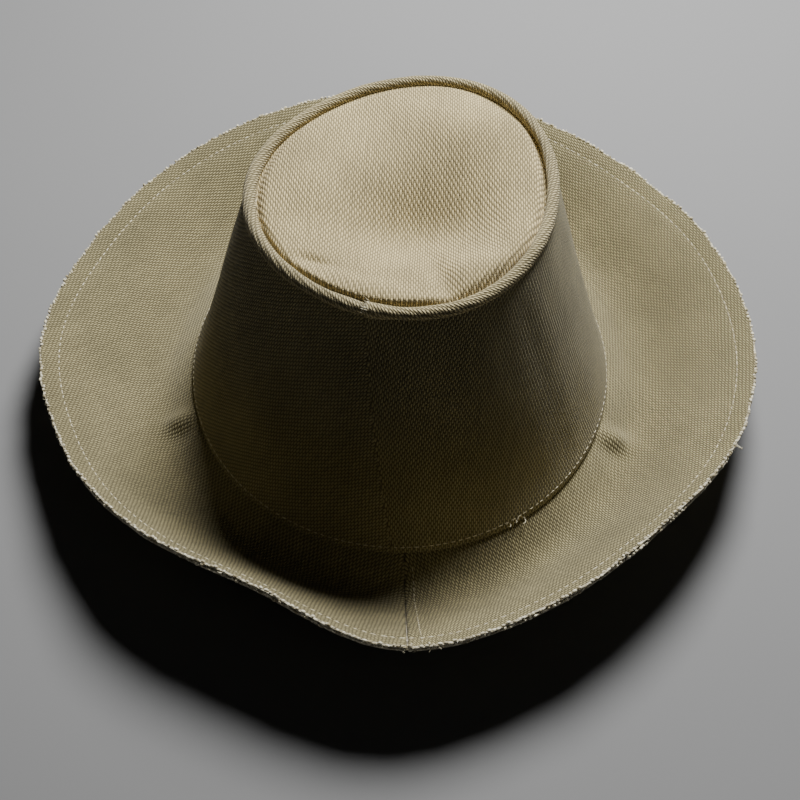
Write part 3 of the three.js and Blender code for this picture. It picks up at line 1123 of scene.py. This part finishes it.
@dataclass
class Tip:
    """The crown's tip: an oval panel that is sunk inside the binding."""

    form: HatForm
    cloth_thickness: float = 1.0 * MM
    panel_reach: float = 64 * MM
    margin: float = 7 * MM
    grain_turn: float = math.radians(-2)
    floor_height: float = 105.0 * MM
    rise_start: float = 3 * MM
    rise_reach: float = 6 * MM
    shoulder: float = 1.5 * MM
    shoulder_start: float = 4 * MM
    shoulder_reach: float = 4.5 * MM
    drop_end: float = 4.2 * MM
    drop_reach: float = 2 * MM
    lip_rise_reach: float = 3.4 * MM
    lip_shoulder_reach: float = 2.4 * MM
    lip_angle: float = math.radians(-99)
    lip_width: float = 0.5
    lip_place: float = 7.4 * MM
    lip_reach: float = 2.6 * MM
    overhang: float = 2.4 * MM
    steps: int = 170
    swells: tuple[Swell, ...] = (
        Swell(6, -14, -12.5, 32, 21, 8),
        Swell(25, 38, 5.4, 25, 21, -20),
        Swell(40, 50, -3.2, 12, 4.5, -32),
        Swell(-34, 8, 1.8, 14, 34, 12),
        Swell(15, -42, -2.6, 16, 5, -76),
        Swell(-13, -51, 2.6, 26, 5.5, -19),
        Swell(-32, -36, -1.5, 7, 2.4, -20),
        Swell(42, -14, 1.6, 10, 26),
        Swell(30, -40, 2.4, 18, 9, 30),
    )

    section_mm: tuple[Pair, ...] = (
        (-1.5, 106.2), (-1.6, 105.4), (-2.2, 104.7), (-3.2, 104.4), (-5, 104.5), (-7, 105),
    )
    margin_drops: tuple[tuple[float, float, float], ...] = (
        (3.6, -99, 0.36), (1.5, 8, 0.8), (1.4, -155, 0.6), (-1.0, 95, 0.8),
    )

    @property
    def middle(self) -> Vector:
        """The middle of the tip's oval, in plan."""
        return self.form.centre + Vector(self.form.top_shift)

    def section(self) -> Ribbon:
        """Return the margin's section, from its raw edge inside the roll to the flat."""
        return Ribbon(line_through([Vector(pair) * MM for pair in self.section_mm], 4))

    def margin_drop(self, angle: float) -> float:
        """Return how far the margin hangs below the roll, from each drop's depth, angle and width."""
        drops = (
            depth * hump(wrapped(angle - math.radians(centre)), width)
            for depth, centre, width in self.margin_drops
        )
        return sum(drops) * MM

    def height_at(self, point: Vector) -> float:
        """Return the sculpted rise over the tip's floor at a plan point of the frame."""
        x, y = (point.to_2d() - self.form.centre) / MM
        swells = sum(swell.at(x, y) for swell in self.swells)
        ripple = 0.5 * noise.noise(Vector((x / 21, y / 21, 1.0)))
        return (swells + ripple) * MM

    def spot(self, angle: float, distance: float, section: Ribbon) -> Vector:
        """Return a point of the tip, `distance` in from its raw edge along the cloth."""
        if distance < section.length:
            point, _ = section.at(distance)
            spot = self.form.oval(1.0, angle, point.x, point.y)
        else:
            share = (self.panel_reach - distance) / (self.panel_reach - section.length)
            edge = self.form.oval(1.0, angle, -self.margin, self.floor_height)
            spot = Vector((*self.middle, self.floor_height)).lerp(edge, share)
        lip = hump(wrapped(angle - self.lip_angle), self.lip_width)
        rise_reach = blend_between(self.rise_reach, self.lip_rise_reach, lip)
        rounded = ease((distance - self.rise_start) / rise_reach)
        shoulder_reach = blend_between(self.shoulder_reach, self.lip_shoulder_reach, lip)
        shoulder = self.shoulder * ease((distance - self.shoulder_start) / shoulder_reach)
        drop = self.margin_drop(angle) * (1 - ease((distance - self.drop_end) / self.drop_reach))
        overhang = self.overhang * lip * hump(distance - self.lip_place, self.lip_reach)
        rise = self.height_at(spot) * rounded + shoulder - drop
        return spot + round_hat(angle) * overhang + Vector((0, 0, rise))

    def build(self) -> None:
        """Make the panel from a square grid that is rounded to a disc."""
        section = self.section()

        def place(u: float, v: float) -> tuple[Vector, Pair]:
            x = u * math.sqrt(1 - v * v / 2)
            y = v * math.sqrt(1 - u * u / 2)
            angle = math.atan2(y, x)
            distance = (1 - min(math.hypot(x, y), 1.0)) * self.panel_reach
            edge = self.form.oval(1.0, angle, self.section_mm[0][0] * MM, 0.0).to_2d() - self.middle
            flat = edge * (1 - distance / self.panel_reach)
            return self.spot(angle, distance, section), turned(flat, self.grain_turn)

        marks = graded([(-1.0, self.steps)], 1.0)
        piece = sheet_mesh("canvas_crown_tip", marks, marks, place)
        finish_cloth(piece, "crown_tip", LIT_TIP_CANVAS, self.cloth_thickness)


@dataclass
class Sweatband:
    """The twill strip inside the crown's foot, with its two ends meeting at the back."""

    form: HatForm
    inset: float = 5.2 * MM
    bottom: float = 6.5 * MM
    top: float = 38 * MM
    cloth_thickness: float = 1.0 * MM
    mean_radius: float = 91 * MM
    join_gap: float = 0.6 * MM
    slack: float = 0.45 * MM
    slack_start: float = 15 * MM

    def build(self) -> None:
        """Make the strip."""
        start = self.form.crown_seam + self.join_gap / 2 / self.mean_radius
        sweep = FULL_TURN - self.join_gap / self.mean_radius

        def place(share: float, height: float) -> tuple[Vector, Pair]:
            angle = start + share * sweep
            slack = self.slack * ease((height - self.slack_start) / (self.top - self.slack_start))
            out = -self.inset + slack * noise.noise(round_hat(angle, 5, height * 30))
            return self.form.on_crown(angle, out, height), (share * sweep * self.mean_radius, height)

        rows = graded([(self.bottom, 4), (self.bottom + 2 * MM, 20), (self.top - 2 * MM, 4)], self.top)
        piece = sheet_mesh("sweatband_strip", graded([(0.0, 420)], 1.0), rows, place)
        finish_cloth(piece, "sweatband", BAND_TWILL, self.cloth_thickness)


# ---------------------------------------------------------------- thread and yarn


@dataclass(frozen=True)
class StitchRow:
    """A row of stitches: how long each is, how far apart, and how wide the thread."""

    pitch: float = 3.7 * MM
    length: float = 2.3 * MM
    width: float = 0.5 * MM
    uneven: float = 0.14
    seed: int = 1

    def sew(self, name: str, node: str, start: float, end: float, scale: float, spot: Spot) -> None:
        """Sew the row.

        Args:
            name: the new piece's name.
            node: the frame's node that it stands for.
            start: the first stitch's place, in the units that `spot` reads.
            end: the last stitch's place.
            scale: the length along the cloth of one such unit.
            spot: gives the point on the cloth and the direction away from it.
        """
        rng = random.Random(self.seed)
        pile = YarnPile()
        count = max(1, round(abs(end - start) * scale / self.pitch))
        for index in range(count):
            along = blend_between(start, end, (index + 0.5 + rng.uniform(-0.1, 0.1)) / count)
            half = self.length / 2 * (1 + rng.uniform(-self.uneven, self.uneven))
            step = half / scale * (1 if end > start else -1)
            before, _ = spot(along - step)
            after, _ = spot(along + step)
            middle, up = spot(along)
            side = up.cross(after - before).normalized()
            ahead = after - before + side * rng.uniform(-0.12, 0.12) * self.length
            size = Vector((half, self.width / 2, self.width * 0.42))
            lifted = middle + up * self.width * 0.12
            pile.grain(lifted, ahead, up, size)
        pile.finish(name, STITCH_THREAD, [node])


@dataclass
class Stitching:
    """Every visible line of sewing on the hat."""

    form: HatForm
    brim: Brim
    crown: Crown
    edge_row: StitchRow = StitchRow(seed=3)
    bobbin_row: StitchRow = StitchRow(length=1.9 * MM, seed=4)
    foot_row: StitchRow = StitchRow(pitch=3.1 * MM, length=2.1 * MM, seed=5)
    seam_row: StitchRow = StitchRow(pitch=3.0 * MM, length=2.0 * MM, width=0.42 * MM, seed=6)
    edge_radius: float = 160 * MM
    foot_stitch_rise: float = 2.6 * MM
    foot_stitch_out: float = 0.62 * MM
    seam_stitch_inset: float = 5 * MM
    seam_wander: float = 0.35 * MM
    tip_row_out: float = -3.9 * MM
    tip_row_height: float = 103.6 * MM
    band_out: float = -5.75 * MM

    def edge_lines(self) -> None:
        """Sew the line round the brim's edge, on its upper face and its under face."""
        seam = self.form.brim_seam
        inset = self.brim.stitch_inset
        for layer, name, node, row in (
            (Layer.TOP, "edge_stitches", "brim_edge_stitching", self.edge_row),
            (Layer.UNDER, "edge_stitches_under", "brim_edge_bobbin_stitching", self.bobbin_row),
        ):
            half_cloth = self.brim.cloth_thickness / 2
            face = layer.value + self.brim.groove(inset, layer) + layer.outward * half_cloth

            def spot(angle: float) -> tuple[Vector, Vector]:
                return facing(lambda lift: self.brim.spot(angle, inset, lift), face, layer.outward * MM)

            row.sew(name, node, seam, seam + FULL_TURN, self.edge_radius, spot)

    def crown_ring(self, name: str, node: str, out: float, height: float, step: float) -> None:
        """Sew a row round the crown's foot that faces the way of `step`."""
        seam = self.form.crown_seam

        def spot(angle: float) -> tuple[Vector, Vector]:
            return facing(lambda reach: self.form.on_crown(angle, reach, height), out, step)

        self.foot_row.sew(name, node, seam, seam + FULL_TURN, self.crown.mean_radius, spot)

    def foot_line(self) -> None:
        """Sew the crown's folded hem down on the brim's collar."""
        height = self.form.foot_height + self.foot_stitch_rise
        self.crown_ring("crown_foot_stitches", "crown_base_topstitching", self.foot_stitch_out, height, MM)

    def loose_loops(self) -> None:
        """Add the slack loop and the short end that stand out of the foot line."""
        pile = YarnPile()
        height = self.form.foot_height + self.foot_stitch_rise
        for turn, size in ((-58, 1.5), (-61.5, 0.8), (-59.6, 0.7)):
            angle = math.radians(turn)
            points = []
            for step in range(9):
                swing = math.radians(-60 + 300 * step / 8)
                spread = size * MM * math.sin(swing) / self.crown.mean_radius
                reach = (0.7 + size * (1 - math.cos(swing))) * MM
                points.append(self.form.on_crown(angle + spread, reach, height - 0.3 * reach))
            pile.fibre(line_through(points, 2), 0.22 * MM, 5)
        pile.finish("slack_foot_stitches", STITCH_THREAD)

    def tip_line(self) -> None:
        """Sew the tip's margin to the binding, down in the groove."""
        seam = self.form.crown_seam

        def spot(angle: float) -> tuple[Vector, Vector]:
            return self.form.oval(1.0, angle, self.tip_row_out, self.tip_row_height), Vector((0, 0, 1))

        self.seam_row.sew("tip_stitches", "tip_seam_thread", seam, seam + FULL_TURN, 60 * MM, spot)

    def crown_rise(self, name: str, node: str, angle: float, out: float, span: Pair) -> None:
        """Sew an upright row inside the crown, from the first height of `span` to the last."""

        def spot(height: float) -> tuple[Vector, Vector]:
            return facing(lambda reach: self.form.on_crown(angle, reach, height), out, -MM)

        self.seam_row.sew(name, node, *span, 1.0, spot)

    def crown_seams(self) -> None:
        """Sew the crown's back and front seams, which show inside the crown."""
        for name, turn in (("back", 0.0), ("front", math.pi)):
            angle = self.form.crown_seam + turn
            out = -0.55 * MM - 2 * self.crown.seam_fold - self.crown.cloth_thickness / 2
            node = f"crown_{name}_seam_thread"
            self.crown_rise(f"crown_{name}_seam_stitches", node, angle, out, (21 * MM, 97 * MM))

    def brim_seams(self) -> None:
        """Topstitch the brim's back and front seams, from the crown to the cut edge."""
        lift = Layer.TOP.value + self.brim.cloth_thickness / 2
        for name, turn in (("back", 0.0), ("front", math.pi)):
            angle = self.form.brim_seam + turn + self.seam_stitch_inset / (150 * MM)
            inner = self.brim.section(angle).length - 19 * MM

            def spot(distance: float) -> tuple[Vector, Vector]:
                wander = self.seam_wander * noise.noise(Vector((distance * 90, 0.0, 3.0)))
                swing = angle + wander / (130 * MM)
                return facing(lambda reach: self.brim.spot(swing, distance, reach), lift)

            node = f"brim_{name}_seam_topstitching"
            self.seam_row.sew(f"brim_{name}_seam_stitches", node, inner, 2 * MM, 1.0, spot)

    def band_lines(self) -> None:
        """Sew the sweatband in, and close its join."""
        height = self.form.foot_height + 3 * MM
        join = self.form.crown_seam + 4 * MM / self.crown.mean_radius
        self.crown_ring("sweatband_stitches", "sweatband_stitching", self.band_out, height, -MM)
        node = "sweatband_join_stitching"
        self.crown_rise("sweatband_join_stitches", node, join, self.band_out, (13 * MM, 37 * MM))

    def build(self) -> None:
        """Sew every line."""
        self.edge_lines()
        self.foot_line()
        self.loose_loops()
        self.tip_line()
        self.crown_seams()
        self.brim_seams()
        self.band_lines()


@dataclass
class CutEdge:
    """The raw edge of the brim: cut yarn ends, loosened yarns and fluff."""

    brim: Brim
    bead_pitch: float = 2.1 * MM
    edge_radius: float = 160 * MM
    fray_count: int = 420
    knot_count: int = 34

    def edge_spot(self, angle: float, layer: Layer, inset: float = 0.0) -> Vector:
        """Return a point on a layer's cut edge."""
        shift = self.brim.edge_shift(angle, layer)
        return self.brim.spot(angle, inset - shift, layer.value)

    def edge_axes(self, angle: float, layer: Layer, inset: float) -> tuple[Vector, Vector, Vector]:
        """Return a point near a layer's cut edge, the way out of the cloth and the way along the edge."""
        point = self.edge_spot(angle, layer, inset)
        outward = (point - self.edge_spot(angle, layer, 2 * MM)).normalized()
        along = (self.edge_spot(angle + 0.01, layer) - self.edge_spot(angle, layer)).normalized()
        return point, outward, along

    def yarn_ends(self, layer: Layer) -> None:
        """Make the row of bright cut yarn ends along one layer's edge."""
        rng = random.Random(11 if layer is Layer.TOP else 12)
        pile = YarnPile()
        count = round(FULL_TURN * self.edge_radius / self.bead_pitch)
        for index in range(count):
            angle = (index + rng.uniform(-0.25, 0.25)) / count * FULL_TURN
            edge, outward, along = self.edge_axes(angle, layer, 0.0)
            up = outward.cross(along)
            size = Vector((rng.uniform(0.55, 1.15), rng.uniform(0.5, 0.85), rng.uniform(0.5, 0.78))) * MM
            drift = up * rng.uniform(-0.1, 0.65) * MM + outward * rng.uniform(-0.3, 0.5) * MM
            pile.grain(edge + outward * 0.1 * MM + drift, along + outward * rng.uniform(-0.5, 0.5), up, size)
        pile.finish(f"cut_yarn_ends_{layer.label}", CORE_YARN)

    def edge_yarn(self, layer: Layer) -> None:
        """Make the outermost yarn, which runs along the cut in loose stretches."""
        rng = random.Random(21 if layer is Layer.TOP else 22)
        pile = YarnPile()
        angle = 0.0
        while angle < FULL_TURN:
            sweep = rng.uniform(0.05, 0.22)
            steps = max(4, round(sweep * self.edge_radius / (1.6 * MM)))
            points = []
            for step in range(steps + 1):
                at = angle + sweep * step / steps
                edge = self.edge_spot(at, layer, -0.25 * MM)
                points.append(edge + Vector((0, 0, rng.uniform(-0.15, 0.3) * MM)))
            pile.fibre(points, 0.2 * MM, 4)
            angle += sweep + rng.uniform(0.0, 0.02)
        pile.finish(f"edge_yarn_{layer.label}", CORE_YARN)

    def fluff(self) -> None:
        """Make the short loose fibres that stand out of both cut edges."""
        rng = random.Random(41)
        pile = YarnPile()
        for _ in range(self.fray_count):
            layer = rng.choice(list(Layer))
            angle = rng.uniform(0, FULL_TURN)
            start, outward, along = self.edge_axes(angle, layer, 0.4 * MM)
            length = rng.uniform(0.8, 2.4) * MM
            lean = along * rng.uniform(-0.9, 0.9) + Vector((0, 0, rng.uniform(-0.4, 0.6)))
            middle = start + outward * length * 0.5 + lean * length * 0.2
            tip = start + outward * length * 0.8 + lean * length * 0.6
            pile.fibre(line_through([start, middle, tip], 2), rng.uniform(0.05, 0.11) * MM)
        pile.finish("edge_fluff", CORE_YARN)

    def loose_threads(self) -> None:
        """Make the two-strand tail at the edge, and the knot of loose yarn where the seam ends."""
        rng = random.Random(51)
        pile = YarnPile()
        for turn, lean in ((-26.6, 0.2), (-26.2, -0.7)):
            angle = math.radians(turn)
            start = self.edge_spot(angle, Layer.TOP, 1.5 * MM)
            outward = (start - self.edge_spot(angle, Layer.TOP, 4 * MM)).normalized()
            along = Vector((-outward.y, outward.x, 0.0)) * lean
            down = Vector((0, 0, -1))
            points = [start, start + outward * 2.5 * MM, start + (outward * 4 + along * 2 + down) * MM]
            points.append(points[-1] + (outward - along + down) * 1.5 * MM)
            pile.fibre(line_through(points, 4), 0.26 * MM, 5)
        for _ in range(self.knot_count):
            angle = self.brim.form.brim_seam + rng.uniform(-2.0, 12.0) * MM / self.edge_radius
            layer = rng.choice(list(Layer))
            start = self.edge_spot(angle, layer, rng.uniform(0.0, 2.5) * MM) + Vector((0, 0, 0.4 * MM))
            points = [start]
            for _ in range(4):
                step = Vector((rng.uniform(-1, 1), rng.uniform(-1.2, 0.6), rng.uniform(-0.5, 0.9)))
                points.append(points[-1] + step * 0.9 * MM)
            pile.fibre(line_through(points, 3), rng.uniform(0.12, 0.22) * MM, 4)
        pile.finish("loose_edge_threads", CORE_YARN)

    def build(self) -> None:
        """Make the whole cut edge."""
        for layer in Layer:
            self.yarn_ends(layer)
            self.edge_yarn(layer)
        self.fluff()
        self.loose_threads()


# ---------------------------------------------------------------- studio


@dataclass(frozen=True)
class Lamp:
    """A soft round lamp that faces the hat, placed by its way round, its rise and its distance."""

    name: str
    turn: float
    rise: float
    distance: float
    size: float
    power: float

    def hang(self) -> None:
        """Hang the lamp."""
        data = bpy.data.lights.new(self.name, "AREA")
        data.shape = "DISK"
        data.size = self.size
        data.energy = self.power
        lamp = bpy.data.objects.new(self.name, data)
        away = round_hat(self.turn, math.cos(self.rise), math.sin(self.rise))
        lamp.location = away * self.distance + Vector((0, 0, 0.05))
        lamp.rotation_euler = away.to_track_quat("Z", "Y").to_euler()
        bpy.context.scene.collection.objects.link(lamp)


@dataclass
class Studio:
    """The camera, the lights and the floor."""

    form: HatForm
    aim_mm: tuple[float, float, float] = (0, -55.22, 46.53)
    distance: float = 537.7 * MM
    elevation: float = math.radians(50)
    lens: float = 61.03
    sensor: float = 36.0
    lamps: tuple[Lamp, ...] = (
        Lamp("key", math.radians(68), math.radians(52), 0.85, 0.38, 16.6),
        Lamp("fill", math.radians(-60), math.radians(40), 2.0, 1.6, 0.2),
    )
    sky: float = 0.01
    floor_size: float = 8.0

    def camera(self) -> None:
        """Set the camera up behind and above the hat."""
        target = Vector(self.aim_mm) * MM + self.form.centre.to_3d()
        back = Vector((0, -math.cos(self.elevation), math.sin(self.elevation)))
        data = bpy.data.cameras.new("view")
        data.lens = self.lens
        data.sensor_width = self.sensor
        data.clip_start = 0.01
        camera = bpy.data.objects.new("view", data)
        camera.location = target + back * self.distance
        camera.rotation_euler = (-back).to_track_quat("-Z", "Y").to_euler()
        bpy.context.scene.collection.objects.link(camera)
        bpy.context.scene.camera = camera

    def lights(self) -> None:
        """Light the hat softly from in front of it, with a faint fill and a dim sky."""
        for lamp in self.lamps:
            lamp.hang()
        world = bpy.data.worlds.new("studio_air")
        world.use_nodes = True
        background = world.node_tree.nodes["Background"]
        background.inputs["Color"].default_value = (self.sky, self.sky, self.sky, 1.0)
        bpy.context.scene.world = world

    def floor(self) -> None:
        """Lay the plain floor that the brim rests on."""
        bm = bmesh.new()
        bmesh.ops.create_grid(bm, x_segments=2, y_segments=2, size=self.floor_size / 2)
        floor = object_from("studio_floor", bm)
        floor.data.materials.append(FLOOR.material())

    def build(self) -> None:
        """Set up camera, lights and floor."""
        self.camera()
        self.lights()
        self.floor()


def main() -> None:
    """Build the studio and the hat."""
    logging.basicConfig(level=logging.INFO, format="%(name)s %(message)s")
    form = HatForm()
    Studio(form).build()
    brim = Brim(form)
    crown = Crown(form)
    brim.build()
    crown.build()
    Binding(form).build()
    Tip(form).build()
    Sweatband(form).build()
    Stitching(form, brim, crown).build()
    CutEdge(brim).build()


if __name__ == "__main__":
    main()
